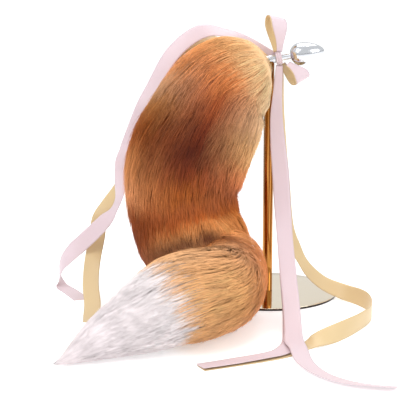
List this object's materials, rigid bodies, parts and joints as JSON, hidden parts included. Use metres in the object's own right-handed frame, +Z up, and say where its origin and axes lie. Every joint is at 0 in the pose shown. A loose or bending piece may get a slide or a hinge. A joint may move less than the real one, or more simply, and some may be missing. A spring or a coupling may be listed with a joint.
{
  "type": "fur costume tail on display stand",
  "caption": "Fluffy orange fox-style costume tail with a white tip, a metal plug fitting and a ribbon bow with streamers, shown on a round gold display stand.",
  "frame": {"origin": "centre of the stand base's underside, on the floor", "axes": "+Z up along the post; -Y is the front, toward the camera; the tail hangs to -X and its tip lies forward and to -X; the plug points to +X"},
  "size_m": [0.3869, 0.4684, 0.3489],
  "materials": {
    "stand_gold": "mirror-polished light gold",
    "polished_steel": "mirror-polished steel",
    "fur_orange": "long soft faux fur, golden orange to red-brown",
    "fur_white": "long soft faux fur, warm white",
    "ribbon_pink": "satin ribbon, pale pink",
    "ribbon_gold": "satin ribbon, pale gold"
  },
  "bodies": {
    "root": {"stand_base": "stand_gold", "stand_post": "stand_gold", "tail_ferrule": "polished_steel", "plug": "polished_steel", "fur_body": "fur_orange", "fur_tip": "fur_white", "bow_knot": "ribbon_pink", "bow_loop_upper": "ribbon_pink", "bow_loop_lower": "ribbon_pink", "streamer_pink_left": "ribbon_pink", "streamer_gold_left": "ribbon_gold", "streamer_pink_front": "ribbon_pink", "streamer_pink_behind": "ribbon_pink", "streamer_gold_right": "ribbon_gold"}
  },
  "joints": []
}
